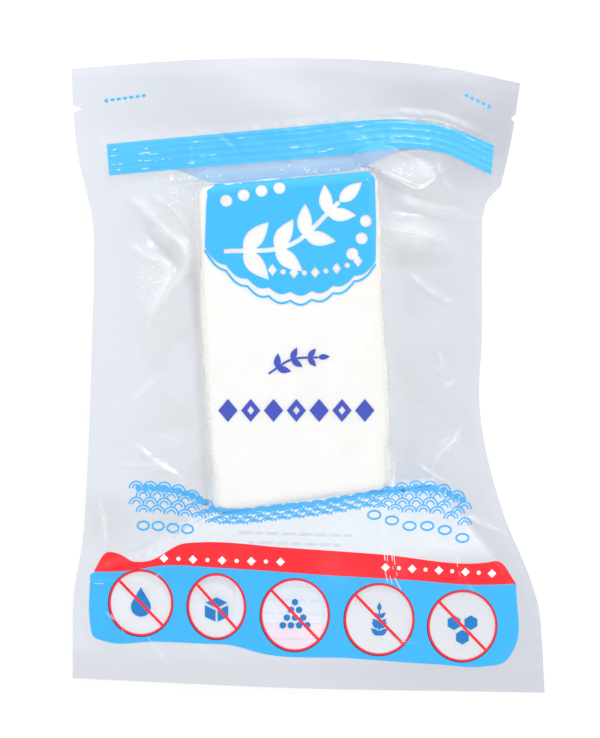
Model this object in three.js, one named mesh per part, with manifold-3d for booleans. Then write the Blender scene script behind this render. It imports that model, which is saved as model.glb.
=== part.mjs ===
// A sealed pouch of clear film, drawn by vacuum round one block of halloumi, lying flat with its front up.
// Millimetres. +Z is up, +Y runs towards the zip, and the origin is under the middle of the pouch, on the
// surface that it lies on. The pouch and the cheese that fills it are one closed solid.
import * as THREE from "three";
import { mergeVertices } from "three/addons/utils/BufferGeometryUtils.js";
import Module from "manifold-3d";

// The block of cheese: a hand-cut slab that lies a little turned in the pouch, with its ends cut askew.
const BLOCK = {
  width: 78,
  length: 140,
  height: 28,
  x: -6,
  y: 15.2,
  turn: THREE.MathUtils.degToRad(2.9),
  topEndSlope: 0.037,
  bottomEndSlope: 0.089,
  cornerRadius: 6,
  edgeRadius: 6,
};

// The film: both layers are drawn together at about half the height of the block and sink towards the rim.
const FILM_THICKNESS = 0.9;
const RIM_START_HEIGHT = 13;
const RIM_DROOP = 9;
const RIM_DROOP_REACH = 80;
const RIM_DROOP_POWER = 1.5;
const RIM_LOWEST = 0.75;
const RIM_WAVE = { height: 0.7, acrossScale: 17, alongScale: 29, startGap: 8, fullGap: 40 };

// How far from the block each wall of film takes to come down to the rim.
const WALL_REACH = { left: 6, right: 6, top: 7.5, bottom: 12, under: 9 };

// The rim of the pouch, pulled in at the waist: smooth curves through [y, x] points at the sides
// and [x, y] points at the ends.
const LEFT_RIM = [
  [-130.5, -101.9],
  [-88, -100.3],
  [-75, -97.8],
  [-49, -95.7],
  [-23, -94.4],
  [15, -93.1],
  [48, -92.2],
  [67, -92.8],
  [80, -95.7],
  [93, -98.8],
  [115, -101.4],
  [132.5, -102.2],
];
const RIGHT_RIM = [
  [-137, 102.2],
  [-114, 100.9],
  [-100.6, 99.6],
  [-87.7, 95.7],
  [-62, 84.9],
  [-36, 77.2],
  [-23, 74.7],
  [-10, 73.5],
  [15.5, 74.6],
  [58.5, 74.8],
  [71, 75.4],
  [76.3, 77.4],
  [79.2, 80],
  [81.4, 82.6],
  [84, 83.3],
  [109, 88.7],
  [126.3, 91.4],
];
const TOP_RIM = [
  [-102.2, 132.5],
  [-81, 134.1],
  [-42, 136.4],
  [-8, 137],
  [24, 136.1],
  [60, 132.6],
  [91.4, 126.3],
];
const BOTTOM_RIM = [
  [-101.9, -130.5],
  [0, -134.9],
  [102.2, -137],
];

// The zip: a ribbed strip inside the pouch, between two curves of [x, y] points.
const ZIP_BOTTOM = [
  [-86, 86.2],
  [-47, 89.6],
  [-4, 93.2],
  [44, 97.7],
  [56, 96.3],
  [79, 86.6],
];
const ZIP_WIDTH = 14;
const ZIP_LEFT_END = -86.6;
const ZIP_RIGHT_END = 79.8;
const ZIP_END_TAPER = 3;
const ZIP_STRIP_RISE = 0.5;
const ZIP_RIB_RISE = 0.8;
const ZIP_RIBS = 2;

// The V-shaped tear notches punched into both side rims above the zip.
const NOTCHES = [
  { tipX: -97.3, mouthX: -104, y: 115.2, mouth: 5.6 },
  { tipX: 87, mouthX: 93, y: 111, mouth: 6 },
];

// Folds where spare film stands up between the block and the rim. A fold runs along [x, y, rise] points,
// and sinks to the rim over its reach on each side. Left and right are as seen along the fold.
const FOLDS = [
  // The film that slopes from the lower end of the block to the bottom rim, with a dog-ear at each end
  {
    line: [
      [-90, -83, 0.5],
      [-68, -76, 3],
      [-51, -64, 8],
      [-42, -59.2, 13.5],
      [36, -48.6, 14],
      [52, -46.4, 10],
      [83, -84, 0.5],
    ],
    leftReach: 3.5,
    rightReach: 62,
    sharpness: 1.6,
  },
  // The dog-ear at the upper right corner of the block, under the zip
  {
    line: [
      [29, 88, 13],
      [48, 80.8, 6],
      [55, 85, 1.5],
    ],
    leftReach: 12,
    rightReach: 3,
    sharpness: 1.3,
  },
  // A pleat that runs from the right side of the block towards the rim
  {
    line: [
      [29, 63, 9],
      [46, 61, 5.5],
      [58, 57.5, 0.8],
    ],
    leftReach: 9,
    rightReach: 9,
    sharpness: 1.3,
  },
];

// The distance over which a fold passes from one stretch to the next at a bend.
const FOLD_BEND = 6;

// The dog-ear at the upper left corner: a three-cornered web of film from the block out to its tip.
const WEB = {
  tip: [-78.4, 79],
  upper: [-46.7, 82],
  lower: [-48.3, 48],
  tipRise: 1.5,
  upperRise: 13,
  lowerRise: 10,
  upperEdgeReach: 4,
  lowerEdgeReach: 12,
  shareUnderBlock: 0.3,
};

// The points of the side rims from which the pouch is pulled in towards its waist.
const SHOULDERS = { left: [-98, 79], right: [84, 81] };

// How many rows and columns of facets each zone has, and the end that they crowd towards.
const ROW_STEPS = { belowBlock: 20, block: 26, wall: 5, zip: 8, header: 6 };
const COLUMN_STEPS = { left: 13, block: 10, right: 13 };
const CROWDING = 1.5;
const CROSSING_TURNS = 40;
const MERGE_DISTANCE = 1e-4;

const { clamp, lerp, smoothstep } = THREE.MathUtils;

// A curve through [place, value] points, smooth unless a straight run from point to point is asked for.
function through(points, Interpolant = THREE.CubicInterpolant) {
  const places = points.map((point) => point[0]);
  const values = points.map((point) => point[1]);
  const curve = new Interpolant(places, values, 1);
  return (place) => curve.evaluate(clamp(place, places[0], places.at(-1)))[0];
}

const leftRim = through(LEFT_RIM);
const rightRim = through(RIGHT_RIM);
const topRim = through(TOP_RIM);
const bottomRim = through(BOTTOM_RIM);
const zipBottom = through(ZIP_BOTTOM);
const zipTop = (x) => zipBottom(x) + ZIP_WIDTH;

// A point of the plan in the block's own axes, where the block is a plain rectangle.
function inBlockAxes(x, y) {
  const across = new THREE.Vector2(x - BLOCK.x, y - BLOCK.y).rotateAround(
    new THREE.Vector2(),
    -BLOCK.turn,
  );
  const middleSlope = (BLOCK.topEndSlope + BLOCK.bottomEndSlope) / 2;
  const slopeChange = (BLOCK.topEndSlope - BLOCK.bottomEndSlope) / 2;
  const halfLength = BLOCK.length / 2;
  const stretch = halfLength / (halfLength + slopeChange * across.x);
  return new THREE.Vector2(across.x, (across.y - middleSlope * across.x) * stretch);
}

// Distance outside the block's rounded outline, negative inside it.
function outsideBlock(local) {
  const pastX = Math.abs(local.x) - BLOCK.width / 2 + BLOCK.cornerRadius;
  const pastY = Math.abs(local.y) - BLOCK.length / 2 + BLOCK.cornerRadius;
  const outside = Math.hypot(Math.max(pastX, 0), Math.max(pastY, 0));
  return outside + Math.min(Math.max(pastX, pastY), 0) - BLOCK.cornerRadius;
}

// The reach of the film's wall at a point, blended round the corners of the block.
function wallReach(local) {
  const pastX = Math.max(Math.abs(local.x) - BLOCK.width / 2, 0);
  const pastY = Math.max(Math.abs(local.y) - BLOCK.length / 2, 0);
  const side = local.x < 0 ? WALL_REACH.left : WALL_REACH.right;
  const end = local.y > 0 ? WALL_REACH.top : WALL_REACH.bottom;
  const total = pastX * pastX + pastY * pastY;
  return total === 0 ? side : (side * pastX * pastX + end * pastY * pastY) / total;
}

// How far the block's face has rounded off at a distance outside its outline.
function edgeRounding(outside) {
  const radius = BLOCK.edgeRadius;
  const past = clamp(outside + radius, 0, radius);
  return radius - Math.sqrt(radius * radius - past * past);
}

// The share of a wall's height that is left on the way out to its reach.
function wallShare(outside, reach) {
  return Math.pow(1 - clamp(outside / reach, 0, 1), 2);
}

// The height of the plane in which both layers of film meet.
function rimHeight(x, y, outside) {
  const gap = Math.max(outside, 0);
  const droop = RIM_DROOP * Math.pow(gap / RIM_DROOP_REACH, RIM_DROOP_POWER);
  const swell = Math.sin(x / RIM_WAVE.acrossScale + y / RIM_WAVE.alongScale);
  const wave = RIM_WAVE.height * swell * smoothstep(gap, RIM_WAVE.startGap, RIM_WAVE.fullGap);
  return Math.max(RIM_START_HEIGHT - droop + wave, RIM_LOWEST);
}

// The rise of a fold at a point of the plan, passing smoothly round each bend from stretch to stretch.
function foldRise(fold, x, y) {
  const point = new THREE.Vector2(x, y);
  const stretches = fold.line.slice(1).map(([endX, endY, endRise], i) => {
    const [startX, startY, startRise] = fold.line[i];
    const along = new THREE.Vector2(endX - startX, endY - startY);
    const from = new THREE.Vector2(x - startX, y - startY);
    const share = clamp(from.dot(along) / along.lengthSq(), 0, 1);
    const foot = new THREE.Vector2(startX, startY).addScaledVector(along, share);
    return {
      distance: foot.distanceTo(point),
      crest: lerp(startRise, endRise, share),
      onLeft: along.cross(from) > 0,
    };
  });
  const nearest = stretches.reduce((best, stretch) => (stretch.distance < best.distance ? stretch : best));
  const reach = nearest.onLeft ? fold.leftReach : fold.rightReach;
  let rise = 0;
  let weights = 0;
  for (const { distance, crest } of stretches) {
    const weight = Math.exp((nearest.distance - distance) / FOLD_BEND);
    rise += weight * crest * Math.pow(Math.max(1 - distance / reach, 0), fold.sharpness);
    weights += weight;
  }
  return rise / weights;
}

// The rise of the three-cornered web, soft along the two edges that leave its tip.
function webRise(x, y) {
  const corners = [WEB.tip, WEB.upper, WEB.lower].map(([cx, cy]) => new THREE.Vector3(cx, cy, 0));
  const shares = THREE.Triangle.getBarycoord(new THREE.Vector3(x, y, 0), ...corners, new THREE.Vector3());
  const rise = shares.x * WEB.tipRise + shares.y * WEB.upperRise + shares.z * WEB.lowerRise;
  const span = corners[0].distanceTo(corners[1]);
  const upperEdge = smoothstep(shares.z * span, -WEB.upperEdgeReach, 0);
  const lowerEdge = smoothstep(shares.y * span, -WEB.lowerEdgeReach, 0);
  return rise * upperEdge * lowerEdge * smoothstep(shares.x, -WEB.shareUnderBlock, 0);
}

// The rise of the zip strip and its ribs.
function zipRise(x, y) {
  const share = (y - zipBottom(x)) / ZIP_WIDTH;
  if (share <= 0 || share >= 1) return 0;
  const ends =
    smoothstep(x, ZIP_LEFT_END, ZIP_LEFT_END + ZIP_END_TAPER) *
    (1 - smoothstep(x, ZIP_RIGHT_END - ZIP_END_TAPER, ZIP_RIGHT_END));
  const rib = Math.pow(Math.sin(Math.PI * ZIP_RIBS * share), 2);
  return ends * (ZIP_STRIP_RISE + ZIP_RIB_RISE * rib);
}

// Heights of the front and the back film at a point of the plan.
function filmHeights(x, y) {
  const local = inBlockAxes(x, y);
  const outside = outsideBlock(local);
  const rim = rimHeight(x, y, outside);
  const shoulder = BLOCK.height - BLOCK.edgeRadius;
  const front =
    outside <= 0
      ? BLOCK.height - edgeRounding(outside)
      : rim + (shoulder - rim) * wallShare(outside, wallReach(local));
  const back =
    outside <= 0
      ? edgeRounding(outside)
      : rim - (rim - BLOCK.edgeRadius) * wallShare(outside, WALL_REACH.under);
  const folds = FOLDS.map((fold) => foldRise(fold, x, y));
  const spare = Math.max(...folds, webRise(x, y));
  const zip = zipRise(x, y);
  const half = FILM_THICKNESS / 2;
  return {
    front: Math.max(front, rim + spare) + (outside <= 0 ? 0 : half + zip),
    back: outside <= 0 ? back : Math.max(back - half - zip, 0),
  };
}

// The lines of a family of facets: zone after zone, each with its own steps and crowding.
function gridLines(zones) {
  const crowd = {
    even: (share) => share,
    start: (share) => Math.pow(share, CROWDING),
    end: (share) => 1 - Math.pow(1 - share, CROWDING),
    both: (share) => share - Math.sin(2 * Math.PI * share) / (3 * Math.PI),
  };
  const lines = zones.flatMap(({ from, to, steps, towards }) =>
    Array.from({ length: steps }, (_, step) => {
      const share = crowd[towards](step / steps);
      return (at) => lerp(from(at), to(at), share);
    }),
  );
  return [...lines, zones.at(-1).to];
}

const lean = Math.tan(BLOCK.turn);
const blockLeft = (y) => BLOCK.x - BLOCK.width / 2 - lean * (y - BLOCK.y);
const blockRight = (y) => BLOCK.x + BLOCK.width / 2 - lean * (y - BLOCK.y);
const blockTop = through(
  [SHOULDERS.left, WEB.tip, WEB.upper, ...FOLDS[1].line, SHOULDERS.right],
  THREE.LinearInterpolant,
);
const foldCrest = through(FOLDS[0].line, THREE.LinearInterpolant);

const columns = gridLines([
  { from: leftRim, to: blockLeft, steps: COLUMN_STEPS.left, towards: "end" },
  { from: blockLeft, to: blockRight, steps: COLUMN_STEPS.block, towards: "both" },
  { from: blockRight, to: rightRim, steps: COLUMN_STEPS.right, towards: "start" },
]);
const rows = gridLines([
  { from: bottomRim, to: foldCrest, steps: ROW_STEPS.belowBlock, towards: "end" },
  { from: foldCrest, to: blockTop, steps: ROW_STEPS.block, towards: "both" },
  { from: blockTop, to: zipBottom, steps: ROW_STEPS.wall, towards: "even" },
  { from: zipBottom, to: zipTop, steps: ROW_STEPS.zip, towards: "even" },
  { from: zipTop, to: topRim, steps: ROW_STEPS.header, towards: "even" },
]);

// The point where a column and a row cross, found by following each in turn.
function crossing(column, row) {
  let x = 0;
  let y = 0;
  for (let turn = 0; turn < CROSSING_TURNS; turn++) {
    x = columns[column](y);
    y = rows[row](x);
  }
  return { x, y };
}

// The pouch: a thin box whose upper face becomes the front film and whose lower face the back film.
function pouchGeometry() {
  const acrossSteps = columns.length - 1;
  const alongSteps = rows.length - 1;
  const box = new THREE.BoxGeometry(1, 1, 1, acrossSteps, alongSteps, 1);
  const position = box.getAttribute("position");
  for (let i = 0; i < position.count; i++) {
    const column = Math.round((position.getX(i) + 0.5) * acrossSteps);
    const row = Math.round((position.getY(i) + 0.5) * alongSteps);
    const { x, y } = crossing(column, row);
    const { front, back } = filmHeights(x, y);
    position.setXYZ(i, x, y, position.getZ(i) > 0 ? front : back);
  }
  return box;
}

// A wedge that punches one tear notch right through the rim.
function notchGeometry({ tipX, mouthX, y, mouth }) {
  const outline = new THREE.Shape([
    new THREE.Vector2(tipX, y),
    new THREE.Vector2(mouthX, y + mouth / 2),
    new THREE.Vector2(mouthX, y - mouth / 2),
  ]);
  const depth = 2 * BLOCK.height;
  return new THREE.ExtrudeGeometry(outline, { depth, bevelEnabled: false }).translate(0, 0, -depth / 2);
}

const wasm = await Module();
wasm.setup();

// A closed geometry as a solid that can be cut.
function solidFrom(geometry) {
  const bare = geometry.clone();
  bare.deleteAttribute("normal");
  bare.deleteAttribute("uv");
  const merged = mergeVertices(bare, MERGE_DISTANCE);
  const vertProperties = new Float32Array(merged.getAttribute("position").array);
  const triVerts = new Uint32Array(merged.index.array);
  return new wasm.Manifold(new wasm.Mesh({ numProp: 3, vertProperties, triVerts }));
}

// A solid's surface as a geometry.
function geometryFrom(solid) {
  const { vertProperties, triVerts } = solid.getMesh();
  const geometry = new THREE.BufferGeometry();
  geometry.setAttribute("position", new THREE.BufferAttribute(vertProperties, 3));
  geometry.setIndex(new THREE.BufferAttribute(triVerts, 1));
  geometry.computeVertexNormals();
  return geometry;
}

const pouchSolid = NOTCHES.reduce(
  (solid, notch) => solid.subtract(solidFrom(notchGeometry(notch))),
  solidFrom(pouchGeometry()),
);

const filmMaterial = new THREE.MeshStandardMaterial({ color: 0xe3e7ef, roughness: 0.2, metalness: 0 });
const pouch = new THREE.Mesh(geometryFrom(pouchSolid), filmMaterial);
pouch.name = "sealed_pouch";

const pack = new THREE.Group();
pack.add(pouch);

export default pack;
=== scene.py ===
import math
import random

import bpy
import bmesh
import numpy as np
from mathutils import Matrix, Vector
from mathutils.geometry import delaunay_2d_cdt


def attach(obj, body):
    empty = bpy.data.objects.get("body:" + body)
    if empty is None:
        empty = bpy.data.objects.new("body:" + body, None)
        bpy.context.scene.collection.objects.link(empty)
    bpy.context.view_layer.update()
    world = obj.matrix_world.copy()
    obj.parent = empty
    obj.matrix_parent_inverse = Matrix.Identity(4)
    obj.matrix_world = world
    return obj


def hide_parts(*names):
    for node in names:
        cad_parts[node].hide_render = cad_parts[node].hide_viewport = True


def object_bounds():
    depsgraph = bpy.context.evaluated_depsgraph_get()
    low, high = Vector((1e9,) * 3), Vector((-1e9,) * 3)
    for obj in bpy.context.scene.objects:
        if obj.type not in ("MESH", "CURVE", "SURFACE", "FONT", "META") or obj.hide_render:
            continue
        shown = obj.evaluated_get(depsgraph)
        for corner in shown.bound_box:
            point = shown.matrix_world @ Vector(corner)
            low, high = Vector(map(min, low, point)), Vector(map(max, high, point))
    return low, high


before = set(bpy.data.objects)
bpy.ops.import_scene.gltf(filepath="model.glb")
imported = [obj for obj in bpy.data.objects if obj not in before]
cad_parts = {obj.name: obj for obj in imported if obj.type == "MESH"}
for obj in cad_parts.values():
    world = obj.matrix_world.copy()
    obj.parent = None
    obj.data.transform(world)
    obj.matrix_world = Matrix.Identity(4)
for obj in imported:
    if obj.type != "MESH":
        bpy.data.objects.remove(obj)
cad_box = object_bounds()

# The block of halloumi: a pressed white curd cheese, folded, salted and cut by hand into a slab. It is dense
# and slightly springy, with softly rounded edges, ends cut a little askew and a faint mottle of brine.
# It lies loose in the pouch, a little turned, and only the drawn film holds it. Sizes here are millimetres.
MM = 0.001
block_width = 77.2
block_length = 138.6
block_height = (cad_box[1][2] - cad_box[0][2]) / MM
block_middle = (-6.0, 15.2)
block_turn = math.radians(2.9)
top_end_slope = 0.037
bottom_end_slope = 0.089
middle_slope = (top_end_slope + bottom_end_slope) / 2
slope_change = (top_end_slope - bottom_end_slope) / 2
block_corner = 4.5
block_edge = 5.5
block_cells = 56
edge_crowding = 0.7
uneven_wave = 46.0
uneven_depth = 0.55
fine_wave = 13.0
fine_depth = 0.22
flank_share = 0.55
top_dent = (0.10, 0.06, 0.03)
film_clearance = 0.1
curd_white = (0.965, 0.962, 0.945)
# The curd's faint creamy mottle, and the painted shade down its sides and along its right-hand edge
curd_cream_and_shade = (0.85, 0.832, 0.775)
right_shade_width = 8.0


def block_axes(x, y):
    """Plan points in the block's own axes, where its skewed outline is a plain rectangle."""
    dx = x - block_middle[0]
    dy = y - block_middle[1]
    across = dx * math.cos(block_turn) + dy * math.sin(block_turn)
    along = dy * math.cos(block_turn) - dx * math.sin(block_turn)
    stretch = (block_length / 2) / (block_length / 2 + slope_change * across)
    return across, (along - middle_slope * across) * stretch


def plan_points(across, along):
    """Plan points at distances across and along the turned block."""
    x = block_middle[0] + across * math.cos(block_turn) - along * math.sin(block_turn)
    y = block_middle[1] + along * math.cos(block_turn) + across * math.sin(block_turn)
    return x, y


def outside_block(across, along):
    """Distance outside the block's rounded outline, negative inside it."""
    past_x = np.abs(across) - block_width / 2 + block_corner
    past_y = np.abs(along) - block_length / 2 + block_corner
    outside = np.hypot(np.maximum(past_x, 0), np.maximum(past_y, 0))
    return outside + np.minimum(np.maximum(past_x, past_y), 0) - block_corner


def ramp(value, start, end):
    """A soft step from 0 at start to 1 at end."""
    share = np.clip((value - start) / (end - start), 0, 1)
    return share * share * (3 - 2 * share)


def swell(x, y, scale, seed, count=7):
    """A smooth, seeded wavy field of about one unit, whose waves are about one scale long."""
    draw = random.Random(seed)
    total = np.zeros_like(x)
    for _ in range(count):
        heading = draw.uniform(0, 2 * math.pi)
        length = scale * draw.uniform(0.7, 1.5)
        phase = draw.uniform(0, 2 * math.pi)
        run = x * math.cos(heading) + y * math.sin(heading)
        total = total + np.sin(2 * math.pi * run / length + phase)
    return total / math.sqrt(count)


def set_inputs(node, values):
    """Sets a node's sockets by their names."""
    for socket, value in values.items():
        node.inputs[socket].default_value = value


def principled(name, color, roughness):
    """A new material and its shader, with one even Principled finish to start from."""
    material = bpy.data.materials.new(name)
    material.use_nodes = True
    shader = material.node_tree.nodes["Principled BSDF"]
    set_inputs(shader, {"Base Color": (*color, 1), "Roughness": roughness})
    return material, shader


def add_bump(material, shader, scale, strength, distance, detail=2.0):
    """A fine noise relief on a shader."""
    nodes = material.node_tree.nodes
    links = material.node_tree.links
    place = nodes.new("ShaderNodeTexCoord")
    grain = nodes.new("ShaderNodeTexNoise")
    set_inputs(grain, {"Scale": scale, "Detail": detail})
    bump = nodes.new("ShaderNodeBump")
    set_inputs(bump, {"Strength": strength, "Distance": distance})
    links.new(place.outputs["Object"], grain.inputs["Vector"])
    links.new(grain.outputs["Fac"], bump.inputs["Height"])
    links.new(bump.outputs["Normal"], shader.inputs["Normal"])


def block_mesh():
    """A cube crowded with cells near its edges, rounded, skewed, turned and made a little uneven."""
    grid = bmesh.new()
    bmesh.ops.create_cube(grid, size=1)
    bmesh.ops.subdivide_edges(grid, edges=grid.edges[:], cuts=block_cells - 1, use_grid_fill=True)
    mesh = bpy.data.meshes.new("halloumi_block")
    grid.to_mesh(mesh)
    grid.free()
    share = np.empty(len(mesh.vertices) * 3)
    mesh.vertices.foreach_get("co", share)
    share = share.reshape(-1, 3)
    crowded = share + np.sin(2 * math.pi * share) * edge_crowding / (2 * math.pi)
    half = np.array([block_width, block_length, block_height - 2 * film_clearance]) / 2
    place = crowded * 2 * half
    core = np.clip(place, block_edge - half, half - block_edge)
    away = place - core
    reach = np.linalg.norm(away, axis=1, keepdims=True)
    facing = away / np.maximum(reach, 1e-9)
    place = np.where(reach > 0, core + facing * block_edge, place)
    across, along, up = place.T
    uneven = swell(across + up * 0.6, along - up * 0.4, uneven_wave, seed=5)
    fine = swell(across - up, along + up, fine_wave, seed=8)
    level = up / half[2]
    flank = 1 - np.clip((np.abs(level) - flank_share) / (1 - flank_share), 0, 1)
    squeeze = (uneven_depth * uneven + fine_depth * fine) * flank
    across = across * (1 + squeeze / half[0])
    along = along * (1 + squeeze / half[1])
    dent = top_dent[0] + top_dent[1] * uneven + top_dent[2] * fine
    up = up - np.clip(dent, 0, 1) * (level > 0.4)
    along = along * (1 + slope_change * across / (block_length / 2)) + middle_slope * across
    x, y = plan_points(across, along)
    place = np.column_stack([x, y, up + block_height / 2])
    mesh.vertices.foreach_set("co", place.ravel() * MM)
    # Painted shade: the curd is made creamier down its rounded sides and in a band along its right-hand edge
    right_edge_shade = ramp(across, half[0] - right_shade_width, half[0] - 1)
    edge_shade = np.maximum(ramp(1 - np.abs(facing[:, 2]), 0, 0.7), right_edge_shade)
    mesh.attributes.new("edge_shade", "FLOAT", "POINT").data.foreach_set("value", edge_shade)
    mesh.shade_smooth()
    return mesh


def curd_material():
    """White curd: milk-soft, creamier in faint patches and finely grained, with painted shade that makes it
    creamier down its sides and along its right-hand edge.
    """
    material, shader = principled("halloumi_curd", curd_white, 0.42)
    set_inputs(shader, {
        "Subsurface Weight": 0.35,
        "Subsurface Radius": (1.0, 0.85, 0.6),
        "Subsurface Scale": 0.004,
        "Specular IOR Level": 0.4,
    })
    nodes = material.node_tree.nodes
    links = material.node_tree.links
    add_bump(material, shader, scale=420, strength=0.25, distance=0.0004, detail=4.0)
    place = nodes.new("ShaderNodeTexCoord")
    mottle = nodes.new("ShaderNodeTexNoise")
    set_inputs(mottle, {"Scale": 55, "Detail": 5})
    patches = nodes.new("ShaderNodeMapRange")
    set_inputs(patches, {"From Min": 0.5, "From Max": 0.3, "To Max": 0.35})
    edge_shade = nodes.new("ShaderNodeAttribute")
    edge_shade.attribute_name = "edge_shade"
    mottle_and_shade = nodes.new("ShaderNodeMath")
    mottle_and_shade.operation = "MAXIMUM"
    tint = nodes.new("ShaderNodeValToRGB")
    tint.color_ramp.elements[0].color = (*curd_white, 1)
    tint.color_ramp.elements[1].color = (*curd_cream_and_shade, 1)
    links.new(place.outputs["Object"], mottle.inputs["Vector"])
    links.new(mottle.outputs["Fac"], patches.inputs["Value"])
    links.new(patches.outputs["Result"], mottle_and_shade.inputs[0])
    links.new(edge_shade.outputs["Fac"], mottle_and_shade.inputs[1])
    links.new(mottle_and_shade.outputs["Value"], tint.inputs["Fac"])
    links.new(tint.outputs["Color"], shader.inputs["Base Color"])
    return material


block = bpy.data.objects.new("halloumi_block", block_mesh())
block.data.materials.append(curd_material())
bpy.context.collection.objects.link(block)
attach(block, "root")
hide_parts("sealed_pouch")

# The pouch: two sheets of clear, faintly milky laminate, sealed together along the rim, with a tear notch
# punched in each side. The pump has drawn both sheets tight round the block, so they meet at half its height,
# and the spare film stands up in dog-ears, pleats and creases. The front is printed before it is made up.
rim_left = [
    (-130.5, -101.9), (-88, -100.3), (-75, -97.8), (-49, -95.7), (-23, -94.4), (15, -93.1),
    (48, -92.2), (67, -92.8), (80, -95.7), (93, -98.8), (115, -101.4), (132.5, -102.2),
]
rim_right = [
    (-137, 102.2), (-114, 100.9), (-100.6, 99.6), (-87.7, 95.7), (-62, 84.9), (-36, 77.2),
    (-23, 74.7), (-10, 73.5), (15.5, 74.6), (58.5, 74.8), (71, 75.4), (76.3, 77.4), (79.2, 80),
    (81.4, 82.6), (84, 83.3), (109, 88.7), (126.3, 91.4),
]
rim_top = [
    (-102.2, 132.5), (-81, 134.1), (-42, 136.4), (-8, 137), (24, 136.1), (60, 132.6), (91.4, 126.3),
]
rim_bottom = [(-101.9, -130.5), (0, -134.9), (102.2, -137)]
rim_step = 1.6
notches = [
    {"tip": -97.3, "y": 115.2, "mouth": 3.8},
    {"tip": 87.0, "y": 111.0, "mouth": 3.4},
]
rim_start_height = 13.0
rim_droop = 9.0
rim_droop_reach = 80.0
rim_lowest = 0.75
rim_wave = 0.7
sag_depth = 0.5
sag_wave = 36.0
header_foot = (100.0, 112.0)
header_calm = 0.7
ripples = [{"height": 0.11, "wave": 17, "seed": 3}, {"height": 0.03, "wave": 9, "seed": 4}]
lowest_film = 0.02
layer_gap = 0.28
seal_width = 9.0
wall_reach = {"left": 1.5, "right": 1.5, "top": 7.5, "bottom": 12.0, "under": 9.0}
wall_foot_reach = 10.0
wall_foot_share = 0.25
fold_blend = 2.0
fold_bend = 6.0
fold_over_block = 27.0
film_step = 1.06
back_coarseness = 1.6
flat_step = 2.4
point_scatter = 0.28
film_seed = 4127
stray_count = 14
slope_step = 0.2

# Each fold is a line of (x, y, rise), with the reach over which it sinks to the rim on its left and right
bottom_tent = {
    "line": [
        (-90, -83, 0.5), (-68, -76, 3), (-51, -64, 8), (-42, -59.2, 13.5),
        (36, -48.6, 14), (52, -46.4, 10), (83, -84, 0.5),
    ],
    "reach": (3.0, 62), "power": 1.6,
}
right_ear = {"line": [(29, 88, 12), (48, 80.8, 4), (55, 85, 1)], "reach": (12, 4.5), "power": 1.3}
right_pleat = {"line": [(29, 63, 9), (46, 61, 5.5), (58, 57.5, 0.8)], "reach": (9, 9), "power": 1.3}
left_web = {"tip": (-78.4, 79, 1.5), "upper": (-46.7, 82, 13), "lower": (-48.3, 48, 10)}

# Each crease is a line of (x, y), its height and half its width; a negative height is a groove
creases = [
    ([(-78, 78), (-70, 71.4), (-60.8, 62.8), (-52, 53)], 1.2, 4.4),
    ([(-66.9, 77.6), (-57.8, 71.1), (-53.1, 65.8), (-49.2, 60.3)], 0.7, 1.8),
    ([(-77, 57.8), (-70.5, 52), (-62, 48.7), (-59.8, 44.4), (-62, 38), (-66.2, 29.3), (-69, 22.8)], 1.9, 5.0),
    ([(-66, 62.8), (-56.5, 58.5), (-52.4, 53), (-52.7, 46.6), (-58.7, 37.9), (-63, 31.4)], 1.9, 4.2),
    ([(-71, 64), (-64, 56), (-58, 50)], -1.0, 4.0),
    ([(-62.6, 0.6), (-69, -4.7), (-75.5, -10.1)], 0.6, 2.6),
    ([(-75.5, -28), (-68.3, -35), (-53.4, -44.3)], 0.8, 2.4),
    ([(-81.2, -38.3), (-69, -38.6), (-55.5, -44)], 0.5, 2.4),
    ([(-65.6, -24.9), (-57.7, -28), (-54.1, -30.1)], 0.4, 2.2),
    ([(-90, -53), (-87.5, -66), (-88, -76)], 0.9, 3.0),
    ([(43.6, 43.9), (48.2, 39.3), (54.4, 35.3), (61.7, 31.1)], 0.8, 3.2),
    ([(36.8, 76.5), (46.2, 72.2), (60.8, 69.2), (75, 67.5)], 0.5, 4.5),
    ([(34.6, 66.7), (45, 63), (55.6, 58.9)], 0.5, 2.0),
    ([(34.6, 56.8), (46.2, 60.2), (55.7, 57.6)], 0.4, 1.8),
    ([(55, 92), (57, 86), (60, 81.7), (61.5, 79)], 0.4, 3.2),
    ([(53.1, -39.1), (58.1, -31.4), (64.3, -26.7)], 1.1, 3.4),
    ([(57, -36), (61, -30), (66, -22)], 0.6, 2.4),
    ([(55.3, 10.3), (57.2, 4.9), (54.4, 0.4)], 0.5, 2.2),
    ([(31.6, -56.3), (31.2, -76.1), (35, -92.7), (42.4, -104), (49, -112.4)], 0.5, 2.6),
    ([(31.6, -60.6), (42.4, -62.2), (49.9, -68.8), (67.2, -74.6)], 0.5, 2.4),
    ([(29.3, -112.4), (39.3, -114), (49, -114.4)], 0.7, 1.8),
    ([(63.9, -76.7), (64.7, -85.6), (72.9, -94)], 0.8, 2.0),
    ([(66, -60), (76, -64), (86, -68)], 0.9, 2.6),
    ([(-42.4, -58.3), (-38.2, -72), (-31, -82), (-24, -101), (-17.5, -121.5)], 0.5, 2.6),
    ([(-94.5, -89), (-88.4, -89), (-81.9, -88.6)], 0.7, 1.8),
    ([(-89, -100.9), (-82.8, -106.6), (-76.8, -114.6)], 0.9, 2.2),
    ([(-82.1, -98), (-71.2, -89.9), (-61.7, -83)], 1.0, 2.4),
    ([(-69.9, -111.8), (-65.1, -118.7), (-60.2, -124.3)], 0.7, 1.8),
]
zip_bottom = [(-86, 86.2), (-47, 89.6), (-4, 93.2), (44, 97.7), (56, 96.3), (79, 86.6)]
zip_width = 14.0
zip_ends = (-89.4, 82.0)
zip_ribs = (0.14, 0.34, 0.56, 0.76, 0.9)
zip_rib_half = 0.05
zip_lift = 0.36
rib_lift = 0.14
zip_waver = 0.05


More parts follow.
